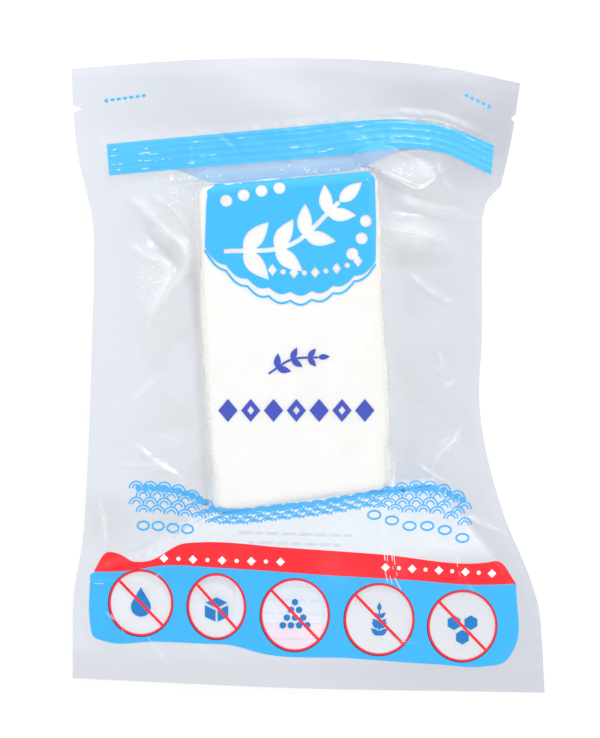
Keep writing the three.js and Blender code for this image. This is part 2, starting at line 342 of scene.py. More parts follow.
def through(knots, at):
    """Values of a smooth curve through (place, value) points."""
    places, values = np.array(knots, float).T
    slopes = np.gradient(values, places)
    at = np.clip(at, places[0], places[-1])
    i = np.clip(np.searchsorted(places, at) - 1, 0, len(places) - 2)
    span = places[i + 1] - places[i]
    t = (at - places[i]) / span
    start = values[i] * (1 + 2 * t) * (1 - t) ** 2 + slopes[i] * span * t * (1 - t) ** 2
    end = values[i + 1] * t * t * (3 - 2 * t) + slopes[i + 1] * span * t * t * (t - 1)
    return start + end


def rim_outline():
    """The pouch's outline, anticlockwise from its lower left corner, notches included."""

    def spread(knots):
        first = knots[0][0]
        last = knots[-1][0]
        return np.linspace(first, last, int((last - first) / rim_step), endpoint=False)

    def side(knots, notch):
        ys = spread(knots)
        points = [(through(knots, y), y) for y in ys if abs(y - notch["y"]) > notch["mouth"] / 2 + 0.4]
        lips = [notch["y"] - notch["mouth"] / 2, notch["y"] + notch["mouth"] / 2]
        points += [(through(knots, y), y) for y in lips]
        points.append((notch["tip"], notch["y"]))
        return sorted(points, key=lambda point: point[1])

    def end(knots):
        return [(x, through(knots, x)) for x in spread(knots)]

    right = side(rim_right, notches[1])
    left = side(rim_left, notches[0])
    top = [(rim_right[-1][1], rim_right[-1][0])] + end(rim_top)[:0:-1]
    bottom = end(rim_bottom)
    outline = bottom + right + top + [(rim_left[-1][1], rim_left[-1][0])] + left[:0:-1]
    return [(float(x), float(y)) for x, y in outline]


def line_foot(x, y, line):
    """Distance to a line of points, the share along its nearest stretch, that stretch, and the side of it."""
    best = np.full_like(x, 1e9)
    share = np.zeros_like(x)
    stretch = np.zeros(x.shape, int)
    left = np.zeros(x.shape, bool)
    for i in range(len(line) - 1):
        ax, ay = line[i][:2]
        bx, by = line[i + 1][:2]
        t = ((x - ax) * (bx - ax) + (y - ay) * (by - ay)) / ((bx - ax) ** 2 + (by - ay) ** 2)
        t = np.clip(t, 0, 1)
        distance = np.hypot(x - ax - t * (bx - ax), y - ay - t * (by - ay))
        nearer = distance < best
        best = np.where(nearer, distance, best)
        share = np.where(nearer, t, share)
        stretch = np.where(nearer, i, stretch)
        left = np.where(nearer, (bx - ax) * (y - ay) - (by - ay) * (x - ax) > 0, left)
    return best, share, stretch, left


def fold_rise(x, y, fold):
    """The rise of a fold above the rim, passing smoothly round each bend from stretch to stretch."""
    nearest, _, _, left = line_foot(x, y, fold["line"])
    over_block = ramp(outside_block(*block_axes(x, y)), 3, 0)
    left_reach = fold["reach"][0] + fold_over_block * over_block
    reach = np.where(left, left_reach, fold["reach"][1])
    rise = np.zeros_like(x)
    weights = np.zeros_like(x)
    for start, end in zip(fold["line"][:-1], fold["line"][1:]):
        distance, share, _, _ = line_foot(x, y, [start, end])
        crest = start[2] + (end[2] - start[2]) * share
        weight = np.exp((nearest - distance) / fold_bend)
        rise += weight * crest * np.maximum(1 - distance / reach, 0) ** fold["power"]
        weights += weight
    return rise / weights


def web_rise(x, y):
    """The rise of the three-cornered web at the upper left corner of the block."""
    ax, ay, a_rise = left_web["tip"]
    bx, by, b_rise = left_web["upper"]
    cx, cy, c_rise = left_web["lower"]
    area = (bx - ax) * (cy - ay) - (cx - ax) * (by - ay)
    b = ((x - ax) * (cy - ay) - (cx - ax) * (y - ay)) / area
    c = ((bx - ax) * (y - ay) - (x - ax) * (by - ay)) / area
    a = 1 - b - c
    span = math.hypot(bx - ax, by - ay)
    edges = ramp(c * span, -3.5, 0) * ramp(b * span, -7, 0) * ramp(a, -0.3, 0)
    return (a * a_rise + b * b_rise + c * c_rise) * edges


def soft_max(one, other, blend):
    """The greater of two rises, with the valley between them rounded."""
    greater = np.maximum(one, other)
    overlap = np.maximum(blend - np.abs(one - other), 0) / blend
    return greater + overlap ** 2 * blend / 4 * ramp(greater, 0, blend)


def crease_share(x, y, line, half_width):
    """A share from 1 on a crease to 0 at half its width, fading at both ends."""
    low = np.min(line, axis=0) - half_width
    high = np.max(line, axis=0) + half_width
    near = (x > low[0]) & (x < high[0]) & (y > low[1]) & (y < high[1])
    distance, share, stretch, _ = line_foot(x[near], y[near], line)
    run = (stretch + share) / (len(line) - 1)
    taper = np.sin(np.pi * np.clip(run, 0.02, 0.98)) ** 0.6
    whole = np.zeros_like(x)
    whole[near] = taper * np.maximum(1 - distance / half_width, 0)
    return whole


def rounded(share):
    """A share with a round top in place of a sharp one."""
    return (share * (2 - share)) ** 2


def zip_rise(x, y):
    """The rise of the zip strip and its ribs under the film."""
    share = (y - through(zip_bottom, x)) / zip_width
    ends = ramp(x, zip_ends[0], zip_ends[0] + 2) * ramp(x, zip_ends[1], zip_ends[1] - 2)
    strip = ramp(share, -0.2, 0) * ramp(share, 1.3, 1)
    ribs = sum(np.maximum(1 - np.abs(share - rib) / zip_rib_half, 0) for rib in zip_ribs)
    return ends * strip * (zip_lift + rib_lift * ribs + zip_waver * swell(x, y, 6, seed=31))


def zip_line(share):
    """A line along the zip, at a share of its width from its lower edge."""
    xs = np.arange(zip_ends[0], zip_ends[1], 2.0)
    return list(zip(xs.tolist(), (through(zip_bottom, xs) + share * zip_width).tolist()))


def stray_creases():
    """Short seeded creases that run out from the block, and down the tent below it."""
    draw = random.Random(film_seed)
    lines = []
    for _ in range(stray_count):
        around = draw.uniform(0, 2 * math.pi)
        x = block_middle[0] + (block_width / 2 + draw.uniform(7, 20)) * math.cos(around) * 1.25
        y = block_middle[1] + (block_length / 2 + draw.uniform(5, 20)) * math.sin(around) * 1.05
        heading = around + draw.uniform(-0.9, 0.9)
        length = draw.uniform(7, 20)
        bend = draw.uniform(-0.35, 0.35)
        middle = (x + length / 2 * math.cos(heading), y + length / 2 * math.sin(heading))
        end = (
            middle[0] + length / 2 * math.cos(heading + bend),
            middle[1] + length / 2 * math.sin(heading + bend),
        )
        height = draw.choice([1, 1, -0.8]) * draw.uniform(0.2, 0.55)
        lines.append(([(x, y), middle, end], height, draw.uniform(1.6, 3.0)))
    return lines


def smooth_line(points, step=1.0):
    """A smooth run of points through a few given ones."""
    knots = np.array(points, float)
    length = np.concatenate([[0], np.cumsum(np.hypot(*np.diff(knots, axis=0).T))])
    at = np.linspace(0, length[-1], max(3, int(length[-1] / step) + 1))
    xs = through(np.column_stack([length, knots[:, 0]]), at)
    ys = through(np.column_stack([length, knots[:, 1]]), at)
    return list(zip(xs.tolist(), ys.tolist()))


def even_line(line, step=1.0):
    """A straight-sided line of (x, y, rise) as a run of close (x, y) points."""
    points = []
    for start, end in zip(line[:-1], line[1:]):
        count = max(1, int(math.dist(start[:2], end[:2]) / step))
        points += np.linspace(start[:2], end[:2], count, endpoint=False).tolist()
    return points + [line[-1][:2]]


outline = rim_outline()
closed_outline = outline + outline[:1]
all_creases = [(smooth_line(line, 2.0), *size) for line, *size in creases + stray_creases()]


def film_heights(x, y):
    """Heights of the front and the back sheet, the rise of the tent, and the distance outside the block."""
    across, along = block_axes(x, y)
    outside = outside_block(across, along)
    gap = np.maximum(outside, 0)
    to_rim = line_foot(x, y, closed_outline)[0]
    loose = ramp(to_rim, 2, seal_width + 3)
    level = rim_start_height - rim_droop * (gap / rim_droop_reach) ** 1.5
    level = level + rim_wave * np.sin(x / 17 + y / 29) * ramp(gap, 8, 40)
    lively = 1 - header_calm * ramp(y, *header_foot)
    level = level + sag_depth * swell(x, y, sag_wave, seed=11) * loose * ramp(gap, 2, 12) * lively
    level = np.maximum(level, rim_lowest)
    past_x = np.maximum(np.abs(across) - block_width / 2, 0)
    past_y = np.maximum(np.abs(along) - block_length / 2, 0)
    side = np.where(across < 0, wall_reach["left"], wall_reach["right"])
    end = np.where(along > 0, wall_reach["top"], wall_reach["bottom"])
    total = past_x ** 2 + past_y ** 2
    reach = np.where(total > 0, (side * past_x ** 2 + end * past_y ** 2) / np.maximum(total, 1e-9), side)
    rounding = np.clip(outside + block_edge, 0, block_edge)
    rounding = block_edge - np.sqrt(np.maximum(block_edge ** 2 - rounding ** 2, 0))
    shoulder = block_height - block_edge
    steep = (1 - np.clip(gap / reach, 0, 1)) ** 2
    gentle = (1 - np.clip(gap / wall_foot_reach, 0, 1)) ** 2
    wall = steep + (gentle - steep) * wall_foot_share
    under = (1 - np.clip(gap / wall_reach["under"], 0, 1)) ** 2
    front = np.where(outside <= 0, block_height - rounding, level + (shoulder - level) * wall)
    back = np.where(outside <= 0, rounding, level - (level - block_edge) * under)
    tent = fold_rise(x, y, bottom_tent)
    spare = np.maximum(web_rise(x, y), tent)
    for fold in (right_ear, right_pleat):
        spare = np.maximum(spare, fold_rise(x, y, fold))
    front = level + soft_max(front - level, spare, fold_blend)
    pinch = sum(height * rounded(crease_share(x, y, line, half)) for line, height, half in all_creases)
    ripple = sum(row["height"] * swell(x, y, row["wave"], row["seed"]) for row in ripples) * lively
    off_block = ramp(outside, 0.5, 6) * loose
    zip_bulge = zip_rise(x, y)
    front = front + (pinch + ripple) * off_block + layer_gap / 2 + zip_bulge
    back = back + 0.3 * ripple * off_block - zip_bulge - layer_gap / 2 * ramp(outside, 0, 3)
    front = np.minimum(front, block_height)
    return front, np.clip(back, lowest_film, front), tent, outside


# Soft patches of (x, y, half width, half length, strength)
# Painted light: the film is painted lighter on its raised folds, and painted darker in the shade under them,
# beside the block and on the lower left flange
painted_highlight_patches = [(-65, 41, 9, 13, 0.6), (45, 61.5, 12, 4.5, 0.9), (43, 88.5, 12, 5, 0.8)]
painted_shade_patches = [
    (-60, 53.5, 6, 4, 0.6), (46, 50, 17, 4, 0.6), (-47.5, 38, 4, 20, 0.7), (34, 77, 6, 5, 0.4),
    (54, 73, 13, 6, 0.6), (-87, -62, 11, 13, 0.5),
]
# Painted highlight along the crests of the tent and of the creases
tent_crest_highlight = 0.5
tent_crest_half = 3.0
least_highlight = 0.15
highlight_by_height = 0.35
most_highlight = 0.8


def patch_cover(x, y, patches):
    """How much of the film at each point lies under soft patches."""
    cover = np.zeros_like(x)
    for middle_x, middle_y, half_width, half_length, strength in patches:
        reach = np.hypot((x - middle_x) / half_width, (y - middle_y) / half_length)
        cover = np.maximum(cover, strength * ramp(reach, 1.4, 0.3))
    return cover


def crest_cover(x, y):
    """How far the film is painted lighter along its folds and creases, as a painted highlight on their
    crests.
    """
    cover = tent_crest_highlight * crease_share(x, y, even_line(bottom_tent["line"]), tent_crest_half)
    for line, height, half_width in all_creases:
        if height > 0:
            white = min(least_highlight + highlight_by_height * height, most_highlight)
            cover = np.maximum(cover, white * crease_share(x, y, line, half_width / 2))
    return cover


def film_tint_and_light(x, y, tent, outside, side):
    """The film's tint and milkiness: greyer over whey and at the foot seal, with painted light and shade on
    the tent, folds and sides.
    """
    # Painted light: the film is made whiter and milkier where it stands clear in the tent below the block, as
    # if lit by light thrown from the cheese
    free = ramp(tent, 0.2, 4) * ramp(outside, -4, -1)
    bound = 1 - free
    pools = ramp(swell(x, y, 30, seed=21), 0.0, 0.45) * ramp(outside, 44, 10) * bound
    foot = ramp(y - through(rim_bottom, x), 16, 7)
    # Painted shade: the film is darkened towards its right side, more at its head and a little at its foot,
    # and across the header, fading towards its left end
    side_shade = shade_right + shade_head * ramp(y, 70, 105) + shade_foot * ramp(y, -50, -90)
    side_shade = side_shade * ramp(x, -20, 75)
    side_shade = np.maximum(side_shade, shade_header * ramp(x, -130, -20) * ramp(y, 100, 110))
    weights = np.column_stack([free, pool_share * pools, seal_share * foot * bound, side_shade * bound])
    plain = 1 - weights.max(axis=1, keepdims=True)
    weights = np.hstack([plain, weights])
    tints = np.array([film_tint, lifted_light_tint, whey_tint, seal_tint, side_shade_tint])
    tint = weights @ tints / weights.sum(axis=1, keepdims=True)
    haze = film_haze + (cling_haze - film_haze) * ramp(outside, 2.5, -1.5)
    haze = haze + (free_haze - haze) * free
    if side == 0:
        # Painted shade in the hollows under the folds, then painted highlights on the raised folds
        tint = tint + (np.array(fold_shade_tint) - tint) * patch_cover(x, y, painted_shade_patches)[:, None]
        tint = tint + (np.array(fold_highlight_tint) - tint) * patch_cover(x, y, painted_highlight_patches)[:, None]
        # Painted highlight: the film is made whiter and milkier along the crests
        crest_highlight = crest_cover(x, y) * ramp(outside, 0, 2)
        tint = tint + (np.array(crest_highlight_tint) - tint) * crest_highlight[:, None]
        haze = haze + (crest_highlight_haze - haze) * crest_highlight
    return tint, haze


def ellipse(x, y, rx, ry, steps=28):
    """An ellipse as a closed outline."""
    turns = [2 * math.pi * i / steps for i in range(steps)]
    return [(x + rx * math.cos(turn), y + ry * math.sin(turn)) for turn in turns]


def lozenge(x, y, rx, ry):
    """A diamond as a closed outline."""
    return [(x + rx, y), (x, y + ry), (x - rx, y), (x, y - ry)]


def turned(shape, x, y, heading):
    """A shape drawn along the x axis, turned to a heading and set at a point."""
    cos = math.cos(heading)
    sin = math.sin(heading)
    return [(x + u * cos - v * sin, y + u * sin + v * cos) for u, v in shape]


def leaf(x, y, length, width, heading, steps=8):
    """A pointed leaf that starts at a point and grows along a heading."""
    shares = [i / steps for i in range(steps + 1)]
    upper = [(share * length, width / 2 * math.sin(math.pi * share ** 0.8)) for share in shares]
    lower = [(u, -v) for u, v in upper[-2:0:-1]]
    return turned(upper + lower, x, y, heading)


def stroke_sides(points, breadth):
    """The left and the right side of a line of ink, whose breadth may change along it."""
    line = np.array(points, float)
    run = np.gradient(line, axis=0)
    run /= np.linalg.norm(run, axis=1, keepdims=True)
    aside = np.column_stack([-run[:, 1], run[:, 0]]) * breadth / 2
    return [tuple(p) for p in line + aside], [tuple(p) for p in line - aside]


def stroke(points, width):
    """A line of ink of an even width, as a closed outline."""
    left, right = stroke_sides(points, width)
    return left + right[::-1]


def crease_marks(line, draw, thickest):
    """Broken white slivers painted along a crease, as glints where light catches it."""
    path = np.array(smooth_line(line, 0.7))
    marks = []
    at = draw.randint(0, 4)
    while at + 4 < len(path):
        run = draw.randint(3, 11)
        part = path[at:at + run]
        shift = draw.uniform(-0.35, 0.35)
        width = draw.uniform(0.35, 1.0) * thickest
        outline_there = stroke(part + shift, width)
        middle = len(part)
        marks.append([tuple(part[0] + shift)] + outline_there[1:middle - 1]
                     + [tuple(part[-1] + shift)] + outline_there[middle + 1:-1])
        at += run + draw.randint(1, 7)
    return marks


def tapered(points, width):
    """A line of ink that is widest at its middle and pointed at both ends."""
    breadth = width * np.sin(np.linspace(0, math.pi, len(points))) ** 0.5
    left, right = stroke_sides(points, breadth[:, None])
    return left + right[-2:0:-1]


def sprig(root, tip, bow, leaf_length, leaf_width, pairs, stem_width):
    """A bowed stem with leaves on both sides and one at its tip."""
    ax, ay = root
    bx, by = tip
    middle = ((ax + bx) / 2 - (by - ay) * bow, (ay + by) / 2 + (bx - ax) * bow)
    stem = smooth_line([root, middle, tip])
    shapes = [stroke(stem, stem_width)]
    for pair in range(pairs):
        at = int((pair + 0.6) / pairs * (len(stem) - 2))
        x, y = stem[at]
        nx, ny = stem[at + 1]
        heading = math.atan2(ny - y, nx - x)
        size = 1 - 0.3 * pair / pairs
        for turn in (0.85, -0.85):
            shapes.append(leaf(x, y, leaf_length * size, leaf_width * size, heading + turn))
    heading = math.atan2(by - stem[-2][1], bx - stem[-2][0])
    shapes.append(leaf(bx, by, leaf_length * 0.8, leaf_width * 0.8, heading))
    return shapes


def zip_band():
    """The blue band printed over the zip."""
    lower = smooth_line([(-85.7, 86.2), (-47.5, 89.5), (-3.7, 93.1), (22.6, 95.8), (43.6, 97.7),
                         (55.7, 96.3), (78.5, 86.6)], 2.0)
    upper = smooth_line([(-86.8, 99.7), (-3.7, 107.2), (22.6, 109.7), (38.5, 110.1), (52.2, 108.6),
                         (65.6, 105), (79.8, 99.4)], 2.0)
    return lower + upper[::-1]


def tear_marks():
    """A small arrowhead and a dashed line beside each notch."""
    shapes = []
    for x, y, heading, dashes in ((-88.4, 118.4, 0.13, 6), (79.0, 115.4, math.pi - 0.45, 4)):
        marks = [[(0, 0), (2.0, -1.2), (2.0, 1.2)]]
        for dash in range(dashes):
            start = 3.2 + dash * 2.7
            end = start + 1.8
            marks.append([(start, -0.55), (end, -0.55), (end, 0.55), (start, 0.55)])
        shapes += [turned(mark, x, y, heading) for mark in marks]
    return shapes


panel_left = -44.2
panel_width = 72.8
panel_side = 55.0
panel_tilt = 6.0
panel_swag = 16.0


def awning(drop, scallop, steps=97, scallops=8):
    """The lower edge of the blue panel: a swag of scallops from left to right."""
    line = []
    for i in range(steps):
        t = i / (steps - 1)
        x = panel_left + t * panel_width
        y = panel_side - panel_tilt * t - (panel_swag + drop) * 4 * t * (1 - t) - drop * 0.5
        line.append((x, y - scallop * abs(math.sin(math.pi * scallops * t))))
    return line


def foreshortening(x):
    """How much a print is squeezed from above where the film comes down steeply from the block."""
    return 1 - 0.5 * float(ramp(abs(x - block_middle[0]), 52, 30))


scale_pitch = 6.0
scale_radius = 3.0
scale_line = 0.7


def scale_row(ground, start, end, below):
    """A row of open half-rings along a ground line, like fish scales."""
    shapes = []
    turns = [math.pi * (k / 10) for k in range(11)]
    for i in range(int((end - start) / scale_pitch) + 1):
        x = start + i * scale_pitch
        squeeze = foreshortening(x)
        y = float(through(ground, x)) - below * squeeze
        for reach in (scale_radius, scale_radius * 0.55):
            arc = [(x + reach * math.cos(t), y + reach * squeeze * math.sin(t)) for t in turns]
            shapes.append(stroke(arc, scale_line))
    return shapes


def ring(x, y, rx, ry, width, steps=18):
    """A thin ring of ink drawn as two half-ring strokes."""
    shapes = []
    for first in (0, math.pi):
        turns = [first + math.pi * k / (steps // 2) for k in range(steps // 2 + 1)]
        shapes.append(stroke([(x + rx * math.cos(t), y + ry * math.sin(t)) for t in turns], width))
    return shapes


def pictogram(kind):
    """A plain sign about the origin: a drop, a cube, a heap of grains, an ear or three cells."""
    if kind == "drop":
        turns = np.linspace(math.pi * 0.86, math.pi * 2.14, 18)
        return [[(0, 5.0)] + [(3.1 * math.cos(t), 3.1 * math.sin(t) - 1.2) for t in turns]]
    if kind == "cube":
        return [
            [(-3.6, 0.4), (-0.3, -1.2), (-0.3, -4.8), (-3.6, -3.2)],
            [(0.3, -1.2), (3.6, 0.4), (3.6, -3.2), (0.3, -4.8)],
            [(-3.4, 1.2), (0, 2.9), (3.4, 1.2), (0, -0.5)],
        ]
    if kind == "heap":
        return [
            ellipse((grain - (span - 1) / 2) * 2.5, row * 2.4 - 3.2, 1.05, 1.05, 12)
            for row, span in enumerate((4, 3, 2, 1))
            for grain in range(span)
        ]
    if kind == "ear":
        return sprig((0, -5.0), (0, 2.6), 0.0, 3.4, 1.7, 4, 0.5)
    turns = [math.pi / 6 + math.pi / 3 * side for side in range(6)]
    middles = ((-2.6, 1.0), (2.6, 1.0), (0, -3.5))
    return [[(x + 2.3 * math.cos(t), y + 2.3 * math.sin(t)) for t in turns] for x, y in middles]


# The front's print, listed from the head of the pouch down, and then the painted white glints on its folds,
# creases and zip
prints = []


def ink(name, *shapes):
    """Lays shapes of one ink over what is already printed."""
    prints.extend((name, [(float(x), float(y)) for x, y in shape]) for shape in shapes)


ink("sky_blue", *tear_marks())
ink("zip_blue", zip_band())
panel_edge = awning(0, 1.7)
panel_top = [(28.8, 66), (28.2, 84.6), (25.6, 87.4), (-6, 84.4), (-40, 82), (-43.2, 79), (-43.6, 70)]
ink("sky_blue", panel_edge + panel_top)
ink("sky_blue", stroke(awning(2.6, 1.7), 0.9))
ink("clear", *sprig((-36, 53), (13, 74), -0.16, 16.5, 7.6, 4, 2.0))
for x, y in ((-35, 74.6), (-27.6, 77), (-20, 78.8), (-12.4, 80), (18.6, 52), (22.6, 58.6), (24.4, 66)):
    ink("clear", ellipse(x, y, 2.6, 2.6, 20))
for i, (x, y) in enumerate(awning(-4.4, 0)[38:-8:6]):
    ink("clear", lozenge(x, y + 1.4, 2.0, 2.6) if i % 2 == 0 else ellipse(x, y + 1.4, 1.2, 1.2, 16))
ink("violet", *sprig((-17, 1), (4, 8), 0.12, 6.4, 3.0, 3, 0.9))
for place in range(7):
    x = -34.3 + place * 9.7
    ink("violet", lozenge(x, -14.6, 4.1, 4.9))
    if place % 2:
        ink("clear", lozenge(x, -14.6, 1.5, 1.9))
ground = [
    (-75.5, -48.8), (-59.6, -49.6), (-48, -53), (-40, -57.6), (-30, -58.4), (-16.6, -57),
    (4.9, -54.6), (26.4, -51), (39.3, -49.2), (54, -49), (68.6, -55),
]
bush_draw = random.Random(film_seed + 5)
for x in np.arange(-73, 67, 2.9):
    height = bush_draw.uniform(0.6, 2.0) * foreshortening(x) + 0.5
    ink("line_blue", ellipse(x, float(through(ground, x)) + 0.8, bush_draw.uniform(1.3, 2.0), height, 14))
for row in range(4):
    ink("line_blue", *scale_row(ground, -74 + scale_radius * (row % 2), 68, row * 3.4 - 0.6))
for first, pitch, count, below, rx in ((28, 7.6, 6, 15.6, 2.7), (-71, 6.4, 4, 15.4, 2.5)):
    for i in range(count):
        x = first + i * pitch
        y = float(through(ground, x)) - below * foreshortening(x)
        ink("line_blue", *ring(x, y, rx, 1.8, 0.9))
ribbon_top = smooth_line([(-92.4, -83.8), (-86.2, -75.7), (-80.8, -76.8), (-75.5, -79.6), (-69.9, -79.6),
                          (-53.5, -71.7), (-45.2, -71), (-11, -73.3), (30.3, -76.3), (76.8, -80.2),
                          (81.1, -79.6), (89.2, -89)], 1.6)
ribbon_foot = smooth_line([(-91.8, -84.3), (-79.3, -83.9), (-61.7, -81.3), (-38.5, -82.1), (9.7, -85.6),
                           (44.1, -87.7), (71.4, -89.9), (89.4, -89.6)], 1.6)
band_foot = smooth_line([(-94, -85.4), (-94, -107.5), (-93, -112), (-87.7, -114.4), (-65.7, -114.4),
                         (-46.7, -115.2), (-32.9, -116.1), (-20.4, -119.5), (16.6, -121.7),
                         (57.7, -124.7), (75.5, -125.6), (85.1, -123.4), (88.5, -118.6), (89.6, -90.2)], 1.6)
ink("sky_blue", band_foot + ribbon_foot[::-1])
ink("red", ribbon_foot + ribbon_top[::-1])
for start, end, count in (((-62, -78.2), (-12, -79.6), 9), ((33, -82.0), (79, -85.0), 9)):
    for i in range(count):
        x = start[0] + (end[0] - start[0]) * i / (count - 1)
        y = start[1] + (end[1] - start[1]) * i / (count - 1)
        ink("white", lozenge(x, y, 1.9, 1.9) if i % 2 == 0 else ellipse(x, y, 0.9, 0.9, 12))
signs = [
    ("drop", -72.1, -97.6, 13.9, 14.4),
    ("cube", -39.5, -99.0, 12.6, 14.4),
    ("heap", -5.8, -102.7, 14.9, 15.9),
    ("ear", 30.5, -104.8, 15.1, 15.7),
    ("cells", 66.4, -107.8, 15.0, 15.6),
]
sign_size = 1.4
slant = 0.7071
for kind, x, y, rx, ry in signs:
    ink("shade", ellipse(x - 0.1, y - 0.1, rx + 0.3, ry + 0.3, 64))
    ink("red", ellipse(x, y, rx, ry, 64))
    # Painted light: a faint white wash inside each ring lifts the shade there
    ink("ring_light_wash", ellipse(x, y, rx - 0.9, ry - 0.9, 64))
    for shape in pictogram(kind):
        ink("sign_blue", [(x + sign_size * u, y + sign_size * v) for u, v in shape])
    slash_x = (rx - 0.5) * slant
    slash_y = (ry - 0.5) * slant
    ink("red", stroke([(x - slash_x, y + slash_y), (x + slash_x, y - slash_y)], 1.2))

# Painted glints: broken white slivers along the taller creases, flecks on the zip's ribs, sparkles in a few
# patches, a bright line on the ear's crest and broken lines beside the block's sides
mark_draw = random.Random(film_seed + 7)
zip_glints = 34
for line, height, half_width in all_creases[:len(creases)]:
    if height > 0.6:
        ink("painted_glint", *crease_marks(line, mark_draw, 0.14 + 0.10 * height))
for _ in range(zip_glints):
    x = zip_ends[0] + 4 + 158 * mark_draw.random() ** 2.2
    share = mark_draw.choice(zip_ribs) + mark_draw.uniform(-0.04, 0.04)
    run = np.array([0, 0.5, 1]) * mark_draw.uniform(0.6, 3.6)
    glint_mark = [(x + u, float(through(zip_bottom, x + u)) + share * zip_width) for u in run]
    ink("painted_glint", stroke(glint_mark, mark_draw.uniform(0.15, 0.5)))
for shift in (-2.0, -0.4, 1.3, 2.6):
    ribbon_glint_line = [(34 + shift, -74), (34.6 + shift, -80), (36 + shift, -87), (38 + 1.4 * shift, -92)]
    ink("painted_glint", *crease_marks(ribbon_glint_line, mark_draw, 0.42))
glint_patches = [
    (-66, 42, 6, 9, 16), (44, 88, 8, 3, 14), (-60, 76, 9, 4, 9), (-56, 85.4, 14, 1.4, 14),
    (10, 89, 30, 1.6, 16),
]
glint_width = 0.4
for x, y, half_width, half_length, count in glint_patches:
    for _ in range(count):
        start = np.array([x + mark_draw.gauss(0, half_width / 2), y + mark_draw.gauss(0, half_length / 2)])
        heading = mark_draw.uniform(0, 2 * math.pi)
        step = np.array([math.cos(heading), math.sin(heading)]) * mark_draw.uniform(0.3, 1.5)
        bow = np.array([-step[1], step[0]]) * mark_draw.uniform(-0.5, 0.5)
        glint_mark = [start - step, start - step / 2 + bow, start + step / 2 + bow, start + step]
        ink("painted_glint", tapered(glint_mark, glint_width))
ear_crest = smooth_line([(30.5, 87.4), (39, 84.2), (47.8, 81), (54.6, 85)])
ink("painted_glint", tapered(ear_crest, 2.0))
for across, ends in ((-block_width / 2 - 0.6, (-52, 40)), (block_width / 2 + 0.6, (-40, 44))):
    edge = [plan_points(across, along + middle_slope * across) for along in np.linspace(*ends, 60)]
    for mark in crease_marks(edge, mark_draw, 0.4):
        if mark_draw.random() < 0.4:
            ink("painted_glint", mark)

# The back's print, which shows through the clear film: two pale fields with rows of dashes on them
back_prints = [
    ("back_white", [(-52, -83), (35.5, -83), (35.5, -52), (-52, -58)]),
    ("back_white", [(-32, -113), (12, -113), (12, -84), (-32, -84)]),
]
dash_draw = random.Random(film_seed + 3)
for name, y, start, end in (
    ("back_lilac", -68.6, -30, 20), ("back_lilac", -72.8, -26, 14), ("back_pale", -91, -26, 10),
    ("back_pale", -97, -26, 12), ("back_pale", -103, -26, 12),
):
    while start < end:
        run = dash_draw.uniform(2.5, 7)
        low = y - 0.03 * (start + 6)
        high = low + 1.3
        back_prints.append((name, [(start, low), (start + run, low), (start + run, high), (start, high)]))
        start += run + 1.3
back_prints.append(("back_pink", [(-24, -118), (16, -118), (16, -106.5), (-24, -106.5)]))


def linear(red, green, blue):
    """A screen colour of 0 to 255 as the linear colour that a shader takes."""
    shares = [channel / 255 for channel in (red, green, blue)]
    return tuple(s / 12.92 if s <= 0.04045 else ((s + 0.055) / 1.055) ** 2.4 for s in shares)


film_tint = (0.70, 0.745, 0.83)
lifted_light_tint = (0.88, 0.95, 1.0)
fold_highlight_tint = (0.86, 0.88, 0.92)
fold_shade_tint = (0.47, 0.47, 0.48)
whey_tint = (0.64, 0.68, 0.70)
seal_tint = (0.58, 0.60, 0.68)
side_shade_tint = (0.34, 0.38, 0.47)
crest_highlight_tint = (0.97, 0.98, 1.0)
pool_share = 0.5
seal_share = 0.7
shade_right = 0.31
shade_head = 0.66
shade_foot = 0.12
shade_header = 0.4
film_haze = 0.38
free_haze = 0.6
cling_haze = 0.02
crest_highlight_haze = 0.6
haze_roughness = 0.5
gloss_roughness = 0.32
film_gloss = 0.05
grazing_gloss = 0.6
grazing_power = 5
film_bump = {"scale": 260, "strength": 0.12, "distance": 0.0004}
ink_roughness = 0.3


def film_material():
    """Clear glossy laminate, with the faint milkiness, and the painted light and shade, that the mesh holds
    point by point.
    """
    material, haze = principled("pouch_laminate", film_tint, haze_roughness)
    nodes = material.node_tree.nodes
    links = material.node_tree.links
    haze.inputs["Specular IOR Level"].default_value = 0.0
    clear = nodes.new("ShaderNodeBsdfTransparent")
    gloss = nodes.new("ShaderNodeBsdfGlossy")
    gloss.inputs["Roughness"].default_value = gloss_roughness
    milk = nodes.new("ShaderNodeAttribute")
    milk.attribute_name = "milk"
    tint_and_light = nodes.new("ShaderNodeAttribute")
    tint_and_light.attribute_name = "tint_and_light"
    body = nodes.new("ShaderNodeMixShader")
    surface = nodes.new("ShaderNodeMixShader")
    facing = nodes.new("ShaderNodeLayerWeight")
    grazing = nodes.new("ShaderNodeMath")
    grazing.operation = "POWER"
    grazing.inputs[1].default_value = grazing_power
    sheen = nodes.new("ShaderNodeMapRange")
    set_inputs(sheen, {"To Min": film_gloss, "To Max": grazing_gloss})
    add_bump(material, gloss, **film_bump)
    links.new(tint_and_light.outputs["Color"], haze.inputs["Base Color"])
    links.new(milk.outputs["Fac"], body.inputs["Fac"])
    links.new(clear.outputs["BSDF"], body.inputs[1])
    links.new(haze.outputs["BSDF"], body.inputs[2])
    links.new(facing.outputs["Facing"], grazing.inputs[0])
    links.new(grazing.outputs["Value"], sheen.inputs["Value"])
    links.new(sheen.outputs["Result"], surface.inputs["Fac"])
    links.new(body.outputs["Shader"], surface.inputs[1])
    links.new(gloss.outputs["BSDF"], surface.inputs[2])
    links.new(surface.outputs["Shader"], nodes["Material Output"].inputs["Surface"])
    return material


def ink_material(name, color, cover):
    """Ink under the glossy outer film, with the film's own fine unevenness; the painted glints and wash of
    light use it too. Thin ink lets light through.
    """
    material, shader = principled(name, color, ink_roughness)
    set_inputs(shader, {"Alpha": cover, "Specular IOR Level": 0.35})
    add_bump(material, shader, **film_bump)
    return material


